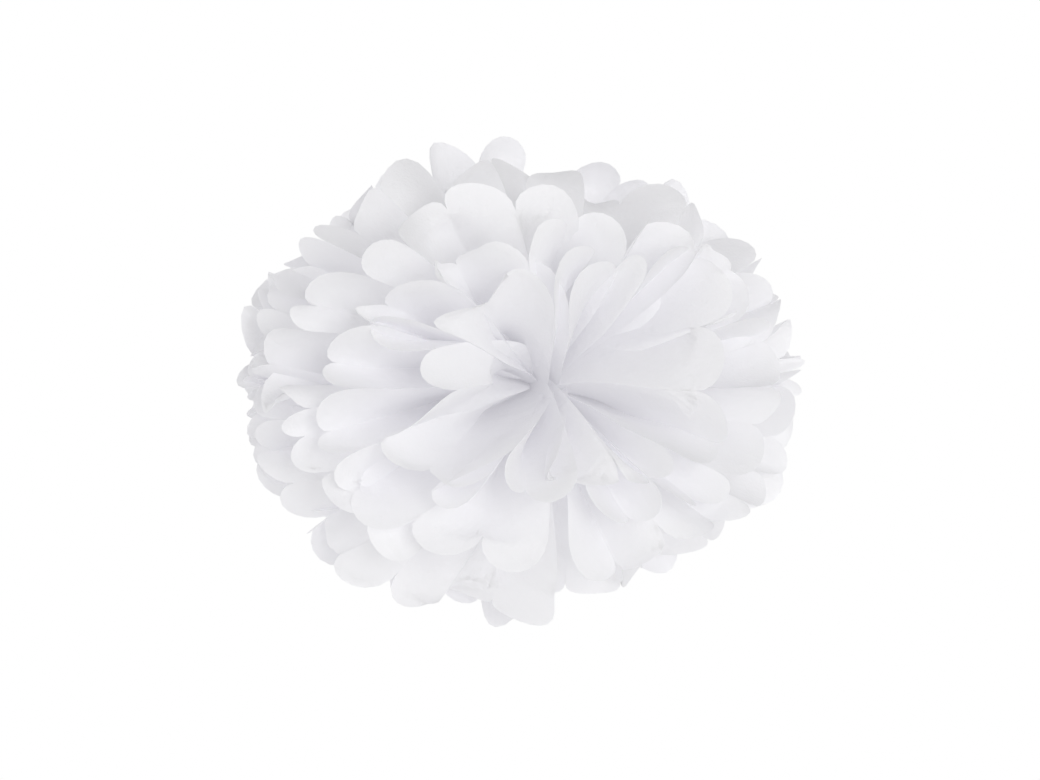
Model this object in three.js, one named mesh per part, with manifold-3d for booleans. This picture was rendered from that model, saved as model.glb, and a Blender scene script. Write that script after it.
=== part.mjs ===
// A tissue paper pom pom: a stack of thin sheets, folded together into pleats, tied
// round the middle and fluffed out, so that every pleat end stands up as a petal.
// Millimetres. The waist of the folded stack is the origin and the stack runs along X,
// so each sheet opens into a left fan and a right fan. +Z is up and -Y is the front.
import * as THREE from "three";
import { mergeVertices } from "three/addons/utils/BufferGeometryUtils.js";
import Module from "manifold-3d";

// The flat sheets, as cut and folded.
const SHEETS = 10; // half of them are pulled to the front and half to the back
const PANELS = 13; // pleats across a sheet, each one a petal at both ends
const SHEET_LENGTH = 350; // along the pleats, from petal tip to petal tip
const NOTCH_DEPTH = 17; // how far the rounding cuts back along each fold
const PAPER = 0.6; // wall of the solid that stands for one thin sheet

// The waist, where the tie holds the folded stack.
const WAIST_HALF = 4; // half the length of the stretch held together
const SHEET_PITCH = 1.1; // from one sheet to the next in the bound stack
const STACK_RADIUS = 7; // the bound stack is round
const WIRE_RADIUS = 0.5;
const WIRE_GAP = 0.4; // between the stack and the wire bound round it
const TWIST_RADIUS = 0.95; // the two wire ends, twisted together
const TWIST_LENGTH = 15;

// The fans, once fluffed. Leans are measured from the plane of X and Z, in degrees.
const FAN_HALF_ANGLE = 87; // from the stack's own line to the last fold of a fan
const FAN_CROWDING = 0.15; // how much closer the middle folds lie than the outer ones
const PLEAT_HEIGHT = 7; // how far a fold rises or dips from the sheet's middle surface
const POLE_SHARPNESS = 0.8; // how soon a fan leans away from the stack's own line

const HALF_LENGTH = SHEET_LENGTH / 2;
const FOLD_LENGTH = HALF_LENGTH - WAIST_HALF;
const ROWS = [0.35, 0.68]; // rings of points along a fold, as shares of its length
const TIP_STEPS = 4; // straight stretches round one petal's tip
const radians = THREE.MathUtils.degToRad;
const mix = THREE.MathUtils.lerp;

// How a sheet leans where it leaves the waist and at its petal tips. A sheet's level
// runs from 0 at the middle of the stack to 1 at its face; face is 1 for the front
// half of the stack and -1 for the back half.
function leans(sheet, swing) {
  const half = SHEETS / 2;
  const face = sheet < half ? 1 : -1;
  const fromMiddle = face > 0 ? half - 1 - sheet : sheet - half;
  const level = (fromMiddle + 0.5) / half;
  const pole = Math.abs(Math.sin(swing)) ** POLE_SHARPNESS;
  return {
    base: face * radians(mix(48 * level, 66 + 13 * level, pole)),
    tip: face * radians(mix(44 * level, -72 + 152 * level, pole)),
  };
}

// The angle of a fold from the stack's line, up at fold 0 and down at the last.
function swingOf(fold) {
  const share = 1 - (2 * fold) / PANELS;
  return radians(FAN_HALF_ANGLE) * mix(share, share ** 3, FAN_CROWDING);
}

// The depth of a sheet in the bound stack, front sheet first.
const stackDepth = (sheet) => (sheet - (SHEETS - 1) / 2) * SHEET_PITCH;

// Where a fold crosses the waist: x is -WAIST_HALF, 0 or WAIST_HALF.
function waistPoint(sheet, fold, x) {
  const y = stackDepth(sheet);
  const halfHeight = Math.sqrt(STACK_RADIUS ** 2 - (Math.abs(y) + PAPER / 2) ** 2);
  return {
    place: new THREE.Vector3(x, y, halfHeight * (1 - (2 * fold) / PANELS)),
    front: new THREE.Vector3(0, -1, 0),
  };
}

// A point on a fold beyond the waist, and the direction of the sheet's front there.
// A fold bends evenly from its base lean to its tip lean, so it is an arc.
function foldPoint(sheet, side, fold, share) {
  const swing = swingOf(fold);
  const { base, tip } = leans(sheet, swing);
  const lean = mix(base, tip, share);
  const outward = (FOLD_LENGTH * (Math.sin(lean) - Math.sin(base))) / (tip - base);
  const forward = (FOLD_LENGTH * (Math.cos(base) - Math.cos(lean))) / (tip - base);
  const across = new THREE.Vector3(side * Math.cos(swing), 0, Math.sin(swing));
  const front = across.clone().multiplyScalar(-Math.sin(lean));
  front.y = -Math.cos(lean);
  const rise = (fold % 2 ? 1 : -1) * PLEAT_HEIGHT * 4 * share * (1 - share);
  const place = waistPoint(sheet, fold, side * WAIST_HALF).place;
  place.addScaledVector(across, outward).addScaledVector(front, rise);
  place.y -= forward;
  return { place, front };
}

// A point between two folds, where a panel is flat from fold to fold.
function panelPoint(at, column) {
  const fold = Math.min(Math.floor(column), PANELS - 1);
  const [a, b] = [at(fold), at(fold + 1)];
  return {
    place: a.place.lerp(b.place, column - fold),
    front: a.front.lerp(b.front, column - fold).normalize(),
  };
}

// How far along the fold direction the rounded end of a panel reaches.
function tipShare(column) {
  const offCentre = 2 * (column - Math.floor(column)) - 1;
  const rounding = 1 - Math.sqrt(1 - offCentre ** 2);
  return 1 - (NOTCH_DEPTH / FOLD_LENGTH) * rounding;
}

// One sheet's rows of points, from the left petal tips through the waist to the right
// ones. A row has a point at each fold, and a tip row has four steps to a panel.
function sheetRows(sheet) {
  const row = (steps, at) =>
    Array.from({ length: PANELS * steps + 1 }, (_, i) => at(i / steps));
  const fanRow = (side, steps, shareAt) =>
    row(steps, (column) =>
      panelPoint((fold) => foldPoint(sheet, side, fold, shareAt(column)), column),
    );
  const fan = (side) => [
    row(1, (fold) => waistPoint(sheet, fold, side * WAIST_HALF)),
    ...ROWS.map((share) => fanRow(side, 1, () => share)),
    fanRow(side, TIP_STEPS, tipShare),
  ];
  return [...fan(-1).reverse(), ...fan(1)];
}

// Triangles from a row of points numbered from a to a row numbered from b, where row b
// has `finer` steps beside each step of row a.
function stitch(a, steps, b, finer) {
  const triangles = [];
  for (let i = 0; i < steps; i++) {
    const first = b + i * finer;
    const middle = first + Math.ceil(finer / 2);
    for (let point = first; point < first + finer; point++)
      triangles.push([a + i + (point < middle ? 0 : 1), point + 1, point]);
    triangles.push([a + i, a + i + 1, middle]);
  }
  return triangles;
}

// A closed solid: the surface moved half a wall to each side, with a rim between.
function thicken(points, triangles, wall) {
  const moved = (side) =>
    points.flatMap(({ place, front }) =>
      place.clone().addScaledVector(front, (side * wall) / 2).toArray(),
    );
  const count = points.length;
  const faces = triangles.flatMap(([p, q, r]) => [p, q, r, p + count, r + count, q + count]);
  const edges = new Map();
  for (const [p, q, r] of triangles)
    for (const [from, to] of [[p, q], [q, r], [r, p]]) {
      if (!edges.delete(`${to} ${from}`)) edges.set(`${from} ${to}`, [from, to]);
    }
  for (const [from, to] of edges.values())
    faces.push(to, from, from + count, to, from + count, to + count);
  const geometry = new THREE.BufferGeometry();
  const positions = [...moved(1), ...moved(-1)];
  geometry.setAttribute("position", new THREE.Float32BufferAttribute(positions, 3));
  geometry.setIndex(faces);
  geometry.computeVertexNormals();
  return geometry;
}

function sheetGeometry(sheet) {
  const rows = sheetRows(sheet);
  const triangles = [];
  let first = 0;
  for (let i = 0; i + 1 < rows.length; i++) {
    const next = first + rows[i].length;
    if (i === 0) {
      const outwardIn = stitch(next, PANELS, first, TIP_STEPS);
      triangles.push(...outwardIn.map(([p, q, r]) => [p, r, q]));
    } else {
      const finer = (rows[i + 1].length - 1) / PANELS;
      triangles.push(...stitch(first, PANELS, next, finer));
    }
    first = next;
  }
  return thicken(rows.flat(), triangles, PAPER);
}

const wasm = await Module();
wasm.setup();

function solidFrom(geometry) {
  const bare = geometry.clone().deleteAttribute("normal").deleteAttribute("uv");
  const merged = mergeVertices(bare, 1e-4);
  const mesh = new wasm.Mesh({
    numProp: 3,
    vertProperties: merged.attributes.position.array,
    triVerts: new Uint32Array(merged.index.array),
  });
  return new wasm.Manifold(mesh);
}

function geometryFrom(solid) {
  const { vertProperties, triVerts } = solid.getMesh();
  const geometry = new THREE.BufferGeometry();
  geometry.setAttribute("position", new THREE.Float32BufferAttribute(vertProperties, 3));
  geometry.setIndex(new THREE.Uint32BufferAttribute(triVerts, 1));
  geometry.computeVertexNormals();
  return geometry;
}

// The tie: a ring of wire round the waist, with its twisted ends standing up in the
// parting between the two fans, where a hanging thread is knotted on.
function tieGeometry() {
  const ringRadius = STACK_RADIUS + WIRE_GAP + WIRE_RADIUS;
  const ring = new THREE.TorusGeometry(ringRadius, WIRE_RADIUS, 8, 30);
  ring.rotateY(Math.PI / 2);
  const twist = new THREE.CylinderGeometry(TWIST_RADIUS, TWIST_RADIUS, TWIST_LENGTH, 10);
  twist.rotateX(Math.PI / 2);
  twist.translate(0, 0, ringRadius + TWIST_LENGTH / 2);
  return geometryFrom(solidFrom(ring).add(solidFrom(twist)));
}

const tissue = new THREE.MeshStandardMaterial({
  color: 0xe9e8ee,
  roughness: 0.9,
  metalness: 0,
  side: THREE.DoubleSide,
});
const wire = new THREE.MeshStandardMaterial({
  color: 0xdcdce0,
  roughness: 0.45,
  metalness: 0,
});

function named(name, geometry, material) {
  const mesh = new THREE.Mesh(geometry, material);
  mesh.name = name;
  return mesh;
}

const pomPom = new THREE.Group();
for (let sheet = 0; sheet < SHEETS; sheet++) {
  const number = String(sheet + 1).padStart(2, "0");
  pomPom.add(named(`tissue_sheet_${number}`, sheetGeometry(sheet), tissue));
}
pomPom.add(named("waist_tie", tieGeometry(), wire));

export default pomPom;
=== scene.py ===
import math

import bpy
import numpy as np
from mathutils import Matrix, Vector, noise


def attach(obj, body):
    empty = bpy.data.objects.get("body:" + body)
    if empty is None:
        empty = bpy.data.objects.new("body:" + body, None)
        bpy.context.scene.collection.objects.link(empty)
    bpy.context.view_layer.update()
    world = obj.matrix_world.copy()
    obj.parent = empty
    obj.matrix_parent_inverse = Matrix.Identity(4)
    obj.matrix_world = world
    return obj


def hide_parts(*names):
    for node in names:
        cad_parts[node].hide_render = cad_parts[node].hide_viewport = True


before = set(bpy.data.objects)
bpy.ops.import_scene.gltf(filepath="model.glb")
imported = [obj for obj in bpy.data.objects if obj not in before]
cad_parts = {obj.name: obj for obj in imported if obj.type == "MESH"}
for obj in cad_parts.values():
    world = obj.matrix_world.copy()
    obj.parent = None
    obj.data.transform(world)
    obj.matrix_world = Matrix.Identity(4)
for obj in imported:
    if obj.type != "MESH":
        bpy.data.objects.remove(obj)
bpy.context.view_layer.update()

# %% [markdown]
# # A tissue paper pom pom
# A pom pom is a stack of thin sheets, folded together like a fan, tied round the middle
# and pulled apart layer by layer. This lesson builds every sheet as one continuous
# surface, so that it keeps its real folds from the waist to the petal tips.

bpy.ops.object.select_all(action="DESELECT")

# %% [markdown]
# The driving sizes are the ones the real sheets were cut and folded to, in metres. The
# stack runs along X, +Z is up and -Y is the front, so each sheet opens into a left fan
# and a right fan. Each panel between two folds ends in one rounded petal.

# %% Sizes of the paper
SHEETS = 10
PANELS = 13
PANEL_WIDTH = 0.0385
HALF_LENGTH = 0.175  # from the middle of a sheet to its petal tips
WAIST_HALF = 0.004  # half the stretch that the tie holds together
NOTCH_DEPTH = 0.017  # how far the rounding cuts back along a fold
STACK_RADIUS = 0.007
SHEET_PITCH = 0.0011  # from one sheet to the next where they are tied
PAPER = 0.00012
FOLD_LENGTH = HALF_LENGTH - WAIST_HALF

# %% [markdown]
# Each fold is a line of fixed length that leaves the waist in some direction and bends
# on its way out. Two angles say where it points. Swing turns it in the plane of X and Z,
# up from the stack's own line, and lean tips it out of that plane, towards the front
# for the front half of the stack and towards the back for the other half.
#
# The two front sheets are what the eye meets first, so their folds are arranged one by
# one, from the top fold to the bottom one. The others only get the swing of their first
# and last fold. The sheets in the middle of the stack open over the top on one side and
# under the bottom on the other, as they do when they are pulled apart by hand.

# %% Directions of the folds
STEPS_OUT = 40  # points along a fold
STEPS_ACROSS = 10  # points across a panel

# (sheet, side): (swing, lean) of each fold, in degrees.
BY_HAND = {
    (0, -1): [(100, 62), (75, 66), (47, 65), (26, 56), (20, 43), (-4, 43), (0, 58),
              (-12, 48), (-27, 58), (-38, 62), (-32, 58), (-29, 69), (-58, 78), (-90, 74)],
    (0, 1): [(125, 62), (103, 65), (74, 64), (62, 56), (48, 48), (28, 46), (8, 44),
             (-5, 50), (-18, 58), (-29, 67), (-50, 78), (-62, 74), (-115, 78), (-128, 72)],
    (1, -1): [(90, 58), (71, 57), (48, 55), (44, 53), (27, 47), (22, 42), (8, 38),
              (4, 40), (-9, 36), (-12, 38), (-23, 36), (-37, 46), (-56, 54), (-80, 58)],
    (1, 1): [(90, 54), (72, 52), (66, 50), (48, 48), (40, 46), (24, 42), (14, 40),
             (2, 40), (-10, 41), (-27, 46), (-40, 56), (-48, 62), (-66, 66), (-92, 68)],
}
# (sheet, side, fold): the direction a fold leaves the waist in, where it is its own.
AT_WAIST = {
    (0, -1, 5): (80, 72), (0, -1, 6): (25, 84),
    (0, 1, 6): (80, 72), (0, 1, 7): (25, 84),
}
# (sheet, side): the swings of the first fold and the last one.
SPANS = {
    (2, -1): (95, -46), (2, 1): (50, -94),
    (3, -1): (26, -94), (3, 1): (96, -30),
    (4, -1): (95, -16), (4, 1): (20, -95),
    (5, -1): (18, -95), (5, 1): (95, -18),
    (6, -1): (97, -26), (6, 1): (24, -96),
    (7, -1): (46, -96), (7, 1): (97, -46),
    (8, -1): (98, -66), (8, 1): (64, -100),
    (9, -1): (80, -104), (9, 1): (104, -80),
}
# A sheet's level says how far out it is turned, from 0 in the middle of the stack to 1
# at its face. At five levels, these are the leans at the waist and at the tips of folds
# that point up, down and along the stack.
LEVELS = [0.1, 0.3, 0.5, 0.7, 0.9]
UP = ([78, 82, 84, 80, 77], [-74, 0, 16, 42, 61])
DOWN = ([66, 76, 78, 78, 78], [-70, 14, 42, 60, 70])
ALONG = ([5, 15, 25, 34, 44], [4, 13, 22, 31, 40])
POLE_SHARPNESS = 0.8  # how soon a fold takes the upward or downward leans
# The level of each sheet of a half, from the innermost one out. The two inner ones fill
# one ring between them, because each opens over the top on one side only.
TURNED_OUT = [0.1, 0.13, 0.36, 0.64, 0.9]


def mix(a, b, share):
    return a + (b - a) * share


def level_of(sheet):
    """Which half a sheet is in, 1 in front and -1 behind, and its level in that half."""
    half = SHEETS // 2
    from_middle = half - 1 - sheet if sheet < half else sheet - half
    return (1 if sheet < half else -1), TURNED_OUT[from_middle]


def leans(level, swing):
    """The leans at the waist and at the tip of folds with these swings."""
    pole = np.abs(np.sin(np.radians(swing))) ** POLE_SHARPNESS
    ends = []
    for end in (0, 1):
        up, down, along = (np.interp(level, LEVELS, way[end]) for way in (UP, DOWN, ALONG))
        ends.append(mix(along, np.where(swing > 0, up, down), pole))
    return ends


all_folds = 2 * SHEETS * (PANELS + 1)
print("folds arranged by hand:", sum(map(len, BY_HAND.values())), "of", all_folds)

# %% [markdown]
# A fan that opens by chance has some panels lying open and others pressed shut. A panel
# can't be wider than the paper, so there is a most that it can turn the fan by. Panels
# near the stack's own line stay nearly shut and are seen as blades.

# %% How far each panel opens
FOLD_SHARES = 1 - 2 * np.arange(PANELS + 1) / PANELS  # 1 at the top fold, -1 at the last
UNEVENNESS = 0.6  # how much the panels' openings differ by chance
BLADES_WITHIN = 28  # degrees from the stack's own line where panels stay nearly shut
BLADE_SHUT = 0.9  # how far they are shut there
FLATTEST = 0.9  # sine of the most that half a panel may turn a fan by
ROUNDS = 12  # of handing on what is too wide for a panel to the others
rng = np.random.default_rng(14)


def widest_turn(level, swing):
    """The most degrees that a flat panel can turn a fan at its tips."""
    base, tip = np.radians(leans(level, swing))
    reach = FOLD_LENGTH * (np.sin(tip) - np.sin(base)) / (tip - base)
    return np.degrees(2 * np.arcsin(np.minimum(FLATTEST, PANEL_WIDTH / 2 / reach)))


def spread_folds(level, top, bottom):
    """Swings of the folds of one fan, from the top one to the bottom one."""
    crowding = 0.2 + 0.5 * level ** 2  # the middle folds lie closer together
    even = -np.diff(mix(FOLD_SHARES, FOLD_SHARES ** 3, crowding))
    middle = mix(top, bottom, (np.arange(PANELS) + 0.5) / PANELS)
    shut = 1 - BLADE_SHUT * np.exp(-(middle / BLADES_WITHIN) ** 2)
    weight = even * shut * np.exp(rng.normal(0, UNEVENNESS, PANELS))
    turn = weight / weight.sum() * (top - bottom)
    for _ in range(ROUNDS):
        swing = top - np.concatenate([[0], np.cumsum(turn)])
        most = widest_turn(level, (swing[1:] + swing[:-1]) / 2)
        turn = np.minimum(turn, most)
        room = np.maximum(most - turn, 1e-6) * weight ** 2
        turn = turn + (top - bottom - turn.sum()) * room / room.sum() * 0.9
    return top - np.concatenate([[0], np.cumsum(turn)])


open_turn = float(widest_turn(TURNED_OUT[0], np.array(0.0)))
print("an open panel turns an inner fan by", round(open_turn, 1), "degrees")

# %% [markdown]
# A fold's line is followed step by step, from its direction at the waist to its
# direction at the tip. Near the waist all the folds of a fan lie close together, so a
# fold starts out between an even share of the fan and the swing it ends with.

# %% The line of each fold
HAND_BEND = 16  # degrees a listed fold bends by, before and after its lean
MOST_LEAN = 86  # at the waist
BASE_JITTER, TIP_JITTER = 1.5, 12  # spread of the other folds' leans, in degrees
BASE_CROWDING = 0.35  # how much closer the middle folds lie at the waist
SWUNG_BY = 0.7  # share of its length in which a fold comes to its own swing
TIE_OFFSET = 0.005  # how far the tie sits to the right of the sheets' middle


def smooth(x, low, high):
    t = np.clip((x - low) / (high - low), 0, 1)
    return t * t * (3 - 2 * t)


def fold_ends(sheet, side, level):
    """Swing and lean of every fold, at the waist and at the tip."""
    by_hand = (sheet, side) in BY_HAND
    if by_hand:
        tip_swing, lean = np.array(BY_HAND[sheet, side], float).T
        base_lean, tip_lean = np.minimum(lean + HAND_BEND, MOST_LEAN), lean - HAND_BEND
    else:
        tip_swing = spread_folds(level, *SPANS[sheet, side])
        base_lean, tip_lean = leans(level, tip_swing)
        base_lean = base_lean + rng.normal(0, BASE_JITTER, PANELS + 1)
        tip_lean = tip_lean + rng.normal(0, TIP_JITTER, PANELS + 1)
    half_span = (tip_swing[0] - tip_swing[-1]) / 2
    common = half_span * mix(FOLD_SHARES, FOLD_SHARES ** 3, BASE_CROWDING)
    common = common + (tip_swing[0] + tip_swing[-1]) / 2
    base_swing = mix(common, tip_swing, 0.8 if by_hand else 0.5 * level)
    for (at_sheet, at_side, fold), own in AT_WAIST.items():
        if (at_sheet, at_side) == (sheet, side):
            base_swing[fold], base_lean[fold] = own
    return map(np.radians, (base_swing, tip_swing, base_lean, tip_lean))


def fold_lines(sheet, side):
    """Points along every fold, and the direction of the sheet's front at each."""
    face, level = level_of(sheet)
    base_swing, tip_swing, base_lean, tip_lean = fold_ends(sheet, side, level)
    out = np.linspace(0, 1, STEPS_OUT)
    middle = (out[1:] + out[:-1]) / 2
    swing = mix(base_swing[:, None], tip_swing[:, None], smooth(middle, 0, SWUNG_BY)[None])
    lean = face * mix(base_lean[:, None], tip_lean[:, None], middle[None])
    across = np.stack([side * np.cos(swing), 0 * swing, np.sin(swing)], -1)
    heading = across * np.cos(lean)[..., None]
    heading[..., 1] -= np.sin(lean)
    depth = (sheet - (SHEETS - 1) / 2) * SHEET_PITCH
    height = math.sqrt(STACK_RADIUS ** 2 - depth ** 2)
    at_waist = np.broadcast_arrays(side * WAIST_HALF, depth, height * FOLD_SHARES)
    start = np.stack(at_waist, -1)
    length = FOLD_LENGTH - TIE_OFFSET * side
    path = np.cumsum(heading * length / (STEPS_OUT - 1), 1)
    points = np.concatenate([start[:, None], start[:, None] + path], 1)
    front = -across * np.sin(lean)[..., None]
    front[..., 1] -= np.cos(lean)
    return points, np.concatenate([front[:, :1], front], 1)


print("a fold has", STEPS_OUT, "points")

# %% [markdown]
# A panel keeps its width all the way in, but near the waist its two folds lie close
# together, so the folds step to the front and to the back in turn. The step is worked
# out from the width that has to be taken up. Between two folds the paper bows a little,
# its tip may curl, and its end is cut round.

# %% Folding one fan
STEP_AT_WAIST = 0.002  # the highest step there
STEP_GROWTH = 0.4  # how fast the highest step grows along a fold
# How far a panel bows between its folds, and how far its tip curls, in metres: the mean,
# and the spread for sheets opened by chance and for those whose folds are listed one by
# one.
BOW_MEAN, BOW_SPREAD = -0.0025, (0.0030, 0.0012)
CURL_MEAN, CURL_SPREAD = -0.002, (0.0070, 0.0040)


def pleat_steps(points):
    """How far each fold steps to the front or to the back, along its line."""
    gap = np.linalg.norm(np.diff(points, axis=0), axis=-1)
    spare = np.sqrt(np.clip(PANEL_WIDTH ** 2 - gap ** 2, 0, None)) / 2
    step = np.concatenate([spare[:1], np.sqrt(spare[1:] * spare[:-1]), spare[-1:]])
    along = np.linspace(0, FOLD_LENGTH, STEPS_OUT)
    step = np.minimum(step, STEP_AT_WAIST + STEP_GROWTH * along)
    sign = np.where(np.arange(PANELS + 1) % 2, 1, -1)
    return sign[:, None] * step


def fan(sheet, side):
    """Points of one fan, column by column from its top fold to its bottom one."""
    points, front = fold_lines(sheet, side)
    step = pleat_steps(points)[..., None] * front
    by_hand = (sheet, side) in BY_HAND
    at = np.linspace(0, 1, STEPS_OUT)
    columns = []
    for panel in range(PANELS):
        a, b = points[panel] + step[panel], points[panel + 1] + step[panel + 1]
        face = np.cross(b - a, np.gradient((a + b) / 2, axis=0))
        face /= np.linalg.norm(face, axis=-1)[:, None] + 1e-9
        forward = np.sign(np.sum(face[-1] * front[panel, -1]))
        bowed = forward * rng.normal(BOW_MEAN, BOW_SPREAD[by_hand])
        curled = forward * rng.normal(CURL_MEAN, CURL_SPREAD[by_hand])
        for i in range(STEPS_ACROSS + (panel == PANELS - 1)):
            u = (1 - math.cos(math.pi * i / STEPS_ACROSS)) / 2
            soft = mix(u, (1 - math.cos(math.pi * u)) / 2, 0.5)
            line = mix(points[panel], points[panel + 1], u)
            line = line + mix(step[panel], step[panel + 1], soft)
            rise = (bowed * at ** 0.7 + curled * at ** 4) * 4 * u * (1 - u)
            line = line + face * rise[:, None]
            round_tip = 1 - math.sqrt(max(0, 1 - (2 * u - 1) ** 2))
            end = at * (1 - NOTCH_DEPTH / FOLD_LENGTH * round_tip)
            cut = [np.interp(end, at, line[:, axis]) for axis in range(3)]
            columns.append(np.stack(cut, -1))
    return np.array(columns)


print("a sheet's grid is", PANELS * STEPS_ACROSS + 1, "by", 2 * STEPS_OUT, "points")

# %% [markdown]
# Handling leaves thin paper slightly crumpled, so the whole sheet is pushed about by a
# smooth noise. The left fan and the right fan then become one mesh, joined through the
# waist.

# %% One whole sheet
CRUMPLE_DEPTH = 0.0022
CRUMPLE_SCALE = 22  # bumps of the noise per metre
noise.seed_set(1)  # without a seed of its own, the noise starts from the clock


def crumple(grid):
    places = [Vector(p) for p in grid.reshape(-1, 3)]
    moved = [p + CRUMPLE_DEPTH * noise.noise_vector(p * CRUMPLE_SCALE) for p in places]
    return np.array(moved).reshape(grid.shape)


def sheet_surface(name, sheet):
    """One sheet with no thickness yet: both fans as one mesh of four-sided faces."""
    grid = crumple(np.concatenate([fan(sheet, -1)[:, ::-1], fan(sheet, 1)], 1))
    index = np.arange(grid[..., 0].size).reshape(grid.shape[:2])
    corners = [index[:-1, :-1], index[:-1, 1:], index[1:, 1:], index[1:, :-1]]
    faces = np.stack(corners, -1).reshape(-1, 4)
    mesh = bpy.data.meshes.new(name)
    mesh.from_pydata(grid.reshape(-1, 3).tolist(), [], faces.tolist())
    mesh.validate()
    mesh.shade_smooth()
    piece = bpy.data.objects.new(name, mesh)
    bpy.context.collection.objects.link(piece)
    return piece


print("noise moves the paper by up to", CRUMPLE_DEPTH, "metres")

# %% [markdown]
# Tissue scatters light and lets almost half of it through, so a matt surface is mixed
# with a translucent one. A faint painted glow, a weak emission in the paper itself,
# lifts the shade in the deep folds. Broad crinkles, fine fibres and a cloudy thickness
# come from noise.

# %% Paper
def node(tree, kind, **inputs):
    made = tree.nodes.new(kind)
    for name, value in inputs.items():
        made.inputs[name.replace("_", " ")].default_value = value
    return made


def tissue_paper():
    material = bpy.data.materials.new("tissue")
    material.use_nodes = True
    tree = material.node_tree
    link = tree.links.new
    shader = tree.nodes["Principled BSDF"]
    shader.inputs["Roughness"].default_value = 0.9
    shader.inputs["Specular IOR Level"].default_value = 0.2
    # Painted glow: a faint emission that brightens the paper and fills the shade of the
    # deep folds
    shader.inputs["Emission Color"].default_value = (0.96, 0.96, 1.0, 1)
    shader.inputs["Emission Strength"].default_value = 0.03
    place = node(tree, "ShaderNodeTexCoord")
    crinkle = node(tree, "ShaderNodeTexNoise", Scale=45, Detail=5, Roughness=0.62)
    fibres = node(tree, "ShaderNodeTexNoise", Scale=900, Detail=2)
    cloud = node(tree, "ShaderNodeTexNoise", Scale=130, Detail=3)
    for texture in (crinkle, fibres, cloud):
        link(place.outputs["Object"], texture.inputs["Vector"])
    shade = node(tree, "ShaderNodeValToRGB")
    thin, thick = shade.color_ramp.elements
    thin.position, thin.color = 0.3, (0.952, 0.95, 0.961, 1)
    thick.position, thick.color = 0.7, (0.973, 0.971, 0.98, 1)
    link(cloud.outputs["Fac"], shade.inputs["Fac"])
    link(shade.outputs["Color"], shader.inputs["Base Color"])
    large = node(tree, "ShaderNodeBump", Strength=0.5, Distance=0.004)
    small = node(tree, "ShaderNodeBump", Strength=0.2, Distance=0.0003)
    link(crinkle.outputs["Fac"], large.inputs["Height"])
    link(fibres.outputs["Fac"], small.inputs["Height"])
    link(large.outputs["Normal"], small.inputs["Normal"])
    through = node(tree, "ShaderNodeBsdfTranslucent", Color=(0.975, 0.973, 0.982, 1))
    for bumped in (shader, through):
        link(small.outputs["Normal"], bumped.inputs["Normal"])
    both = node(tree, "ShaderNodeMixShader", Fac=0.45)
    link(shader.outputs["BSDF"], both.inputs[1])
    link(through.outputs["BSDF"], both.inputs[2])
    link(both.outputs["Shader"], tree.nodes["Material Output"].inputs["Surface"])
    return material


tissue = tissue_paper()
print("paper nodes:", len(tissue.node_tree.nodes))

# %% [markdown]
# Now the ten sheets are made, each thickened to a closed sheet with square rims. Each
# one stands for the solid of the same number in the collision model.

# %% The ten sheets
RIM_ANGLE = math.radians(70)  # edges sharper than this are the cut rims

for sheet in range(SHEETS):
    piece = sheet_surface(f"petals_{sheet + 1:02d}", sheet)
    piece.data.materials.append(tissue)
    wall = piece.modifiers.new("wall", "SOLIDIFY")
    wall.thickness = PAPER
    wall.offset = 0
    bpy.context.view_layer.objects.active = piece
    bpy.ops.object.modifier_apply(modifier="wall")
    piece.data.set_sharp_from_angle(angle=RIM_ANGLE)
    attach(piece, "root")
    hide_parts(f"tissue_sheet_{sheet + 1:02d}")
    print(piece.name, "faces:", len(piece.data.polygons))

# %% [markdown]
# The tie is a soft wire bound once round the waist, with its two ends twisted together
# into a stem in the parting at the top. The ring is a torus. Each strand of the twist
# is a small circle turned about Z with a Screw modifier, and its ends are filled.

# %% The tie
RING_CLEARANCE = 0.0009  # from the bound stack to the middle of the wire
RING_RADIUS = STACK_RADIUS + RING_CLEARANCE
WIRE_RADIUS = 0.0005
STRAND_RADIUS = 0.00046  # pulled a little thinner by the twisting
TWIST_LENGTH = 0.015
TWIST_TURNS = 4

bpy.ops.mesh.primitive_torus_add(
    major_radius=RING_RADIUS, minor_radius=WIRE_RADIUS,
    major_segments=72, minor_segments=16, rotation=(0, math.pi / 2, 0))
tie = bpy.context.object
tie.name = "tie_wire"
strands = []
for turned in (0, 1):
    bpy.ops.object.select_all(action="DESELECT")
    beside = STRAND_RADIUS * (1 - 2 * turned)
    bpy.ops.mesh.primitive_circle_add(
        vertices=14, radius=STRAND_RADIUS, location=(beside, 0, RING_RADIUS),
        rotation=(math.pi / 2, 0, 0))
    bpy.ops.object.transform_apply(location=True, rotation=True, scale=True)
    strand = bpy.context.object
    twist = strand.modifiers.new("twist", "SCREW")
    twist.angle = math.radians(360 * TWIST_TURNS)
    twist.screw_offset = TWIST_LENGTH
    twist.steps = twist.render_steps = 120
    bpy.ops.object.modifier_apply(modifier="twist")
    bpy.ops.object.mode_set(mode="EDIT")
    bpy.ops.mesh.select_all(action="SELECT")
    bpy.ops.mesh.fill_holes(sides=0)
    bpy.ops.mesh.normals_make_consistent(inside=False)
    bpy.ops.object.mode_set(mode="OBJECT")
    strands.append(strand)
bpy.ops.object.select_all(action="DESELECT")
for part in (*strands, tie):
    part.select_set(True)
bpy.context.view_layer.objects.active = tie
bpy.ops.object.join()
bpy.ops.object.transform_apply(location=True, rotation=True, scale=True)
bpy.ops.object.shade_smooth()
tie.data.set_sharp_from_angle(angle=math.radians(50))
print("tie box, metres:", [round(d, 4) for d in tie.dimensions])

# %% [markdown]
# The wire is wound with thin white paper, so it is matt and slightly ribbed.

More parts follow.
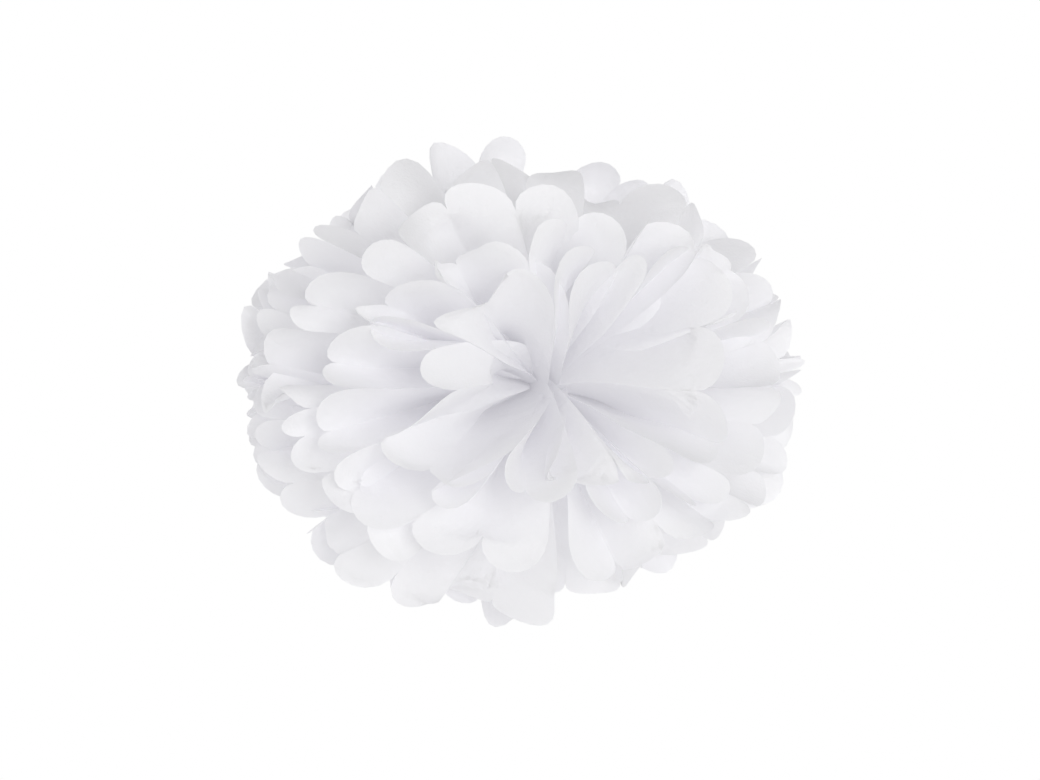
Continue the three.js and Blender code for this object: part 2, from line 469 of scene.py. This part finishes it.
# %% Wire
def wrapped_wire():
    material = bpy.data.materials.new("wire")
    material.use_nodes = True
    tree = material.node_tree
    link = tree.links.new
    shader = tree.nodes["Principled BSDF"]
    place = node(tree, "ShaderNodeTexCoord")
    winding = node(tree, "ShaderNodeTexWave", Scale=900, Distortion=1.5, Detail=2)
    wear = node(tree, "ShaderNodeTexNoise", Scale=500, Detail=4)
    for texture in (winding, wear):
        link(place.outputs["Object"], texture.inputs["Vector"])
    shade = node(tree, "ShaderNodeValToRGB")
    shade.color_ramp.elements[0].color = (0.70, 0.70, 0.72, 1)
    shade.color_ramp.elements[1].color = (0.90, 0.90, 0.92, 1)
    link(wear.outputs["Fac"], shade.inputs["Fac"])
    link(shade.outputs["Color"], shader.inputs["Base Color"])
    sheen = node(tree, "ShaderNodeMapRange", To_Min=0.45, To_Max=0.7)
    link(wear.outputs["Fac"], sheen.inputs["Value"])
    link(sheen.outputs["Result"], shader.inputs["Roughness"])
    ribs = node(tree, "ShaderNodeBump", Strength=0.4, Distance=0.0001)
    link(winding.outputs["Fac"], ribs.inputs["Height"])
    link(ribs.outputs["Normal"], shader.inputs["Normal"])
    return material


tie.data.materials.clear()
tie.data.materials.append(wrapped_wire())
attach(tie, "root")
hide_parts("waist_tie")
print("tie faces:", len(tie.data.polygons))

# %% [markdown]
# The studio is as plain as it can be: a white floor well below the hanging ball, a white
# surround and three large soft lights. The floor takes light as a matt white surface
# does, and looks as white as the surround to the camera, so that no horizon shows.

# %% Studio
WHITE = (1, 1, 1, 1)
FLOOR_HEIGHT = -0.32
SURROUND_STRENGTH = 0.38  # of the light that the surround gives


def white_to_camera(tree, lit, plain, output):
    """Show plain white to the camera, and leave the lit shader for everything else."""
    white = node(tree, plain, Color=WHITE, Strength=1.0)
    looked_at = node(tree, "ShaderNodeLightPath")
    blend = node(tree, "ShaderNodeMixShader")
    tree.links.new(looked_at.outputs["Is Camera Ray"], blend.inputs["Fac"])
    tree.links.new(lit.outputs[0], blend.inputs[1])
    tree.links.new(white.outputs[0], blend.inputs[2])
    tree.links.new(blend.outputs[0], tree.nodes[output].inputs["Surface"])


bpy.ops.object.select_all(action="DESELECT")
bpy.ops.mesh.primitive_plane_add(size=6, location=(0, 0, FLOOR_HEIGHT))
floor = bpy.context.object
floor.name = "floor"
paint = bpy.data.materials.new("floor")
paint.use_nodes = True
matt = paint.node_tree.nodes["Principled BSDF"]
matt.inputs["Base Color"].default_value = (0.95, 0.95, 0.95, 1)
white_to_camera(paint.node_tree, matt, "ShaderNodeEmission", "Material Output")
floor.data.materials.append(paint)

world = bpy.data.worlds.new("studio")
bpy.context.scene.world = world
world.use_nodes = True
surround = world.node_tree.nodes["Background"]
surround.inputs["Color"].default_value = WHITE
surround.inputs["Strength"].default_value = SURROUND_STRENGTH
white_to_camera(world.node_tree, surround, "ShaderNodeBackground", "World Output")


def softbox(name, place, size, power):
    """A round soft light that points at the ball."""
    light = bpy.data.lights.new(name, "AREA")
    light.shape = "DISK"
    light.size = size
    light.energy = power
    lamp = bpy.data.objects.new(name, light)
    lamp.location = place
    lamp.rotation_euler = (-Vector(place)).to_track_quat("-Z", "Y").to_euler()
    bpy.context.collection.objects.link(lamp)


softbox("front", (0.1, -1.9, 0.2), 0.7, 13)
softbox("back", (0.5, 1.2, 0.5), 1.2, 13)
softbox("left", (-1.5, 0.1, 0.2), 1.2, 6)

# %% [markdown]
# The camera looks at the front from slightly above and slightly to the left. Thin white
# paper needs many bounces of light before its folds are as bright as real ones.

# %% Camera
BOUNCES = 24  # of light from paper to paper
GAMMA = 1.5  # lifts the middle tones, so that white paper looks airy
FRAMED_LEFT, FRAMED_DOWN = 0.005, 0.007  # how far off the waist the camera looks
lens = bpy.data.cameras.new("camera")
lens.lens = 85
camera = bpy.data.objects.new("camera", lens)
azimuth, elevation, distance = math.radians(-11), math.radians(5), 1.53
to_right = Vector((math.cos(azimuth), math.sin(azimuth), 0))
level_back = Vector((math.sin(azimuth), -math.cos(azimuth), 0)) * math.cos(elevation)
back = level_back + Vector((0, 0, math.sin(elevation)))
camera.location = back * distance - to_right * FRAMED_LEFT - Vector((0, 0, FRAMED_DOWN))
camera.rotation_euler = (math.radians(90) - elevation, 0, azimuth)
bpy.context.collection.objects.link(camera)
scene = bpy.context.scene
scene.camera = camera
scene.view_settings.view_transform = "Standard"
scene.view_settings.gamma = GAMMA
scene.cycles.diffuse_bounces = BOUNCES
scene.cycles.max_bounces = BOUNCES
print("camera at", [round(c, 3) for c in camera.location])
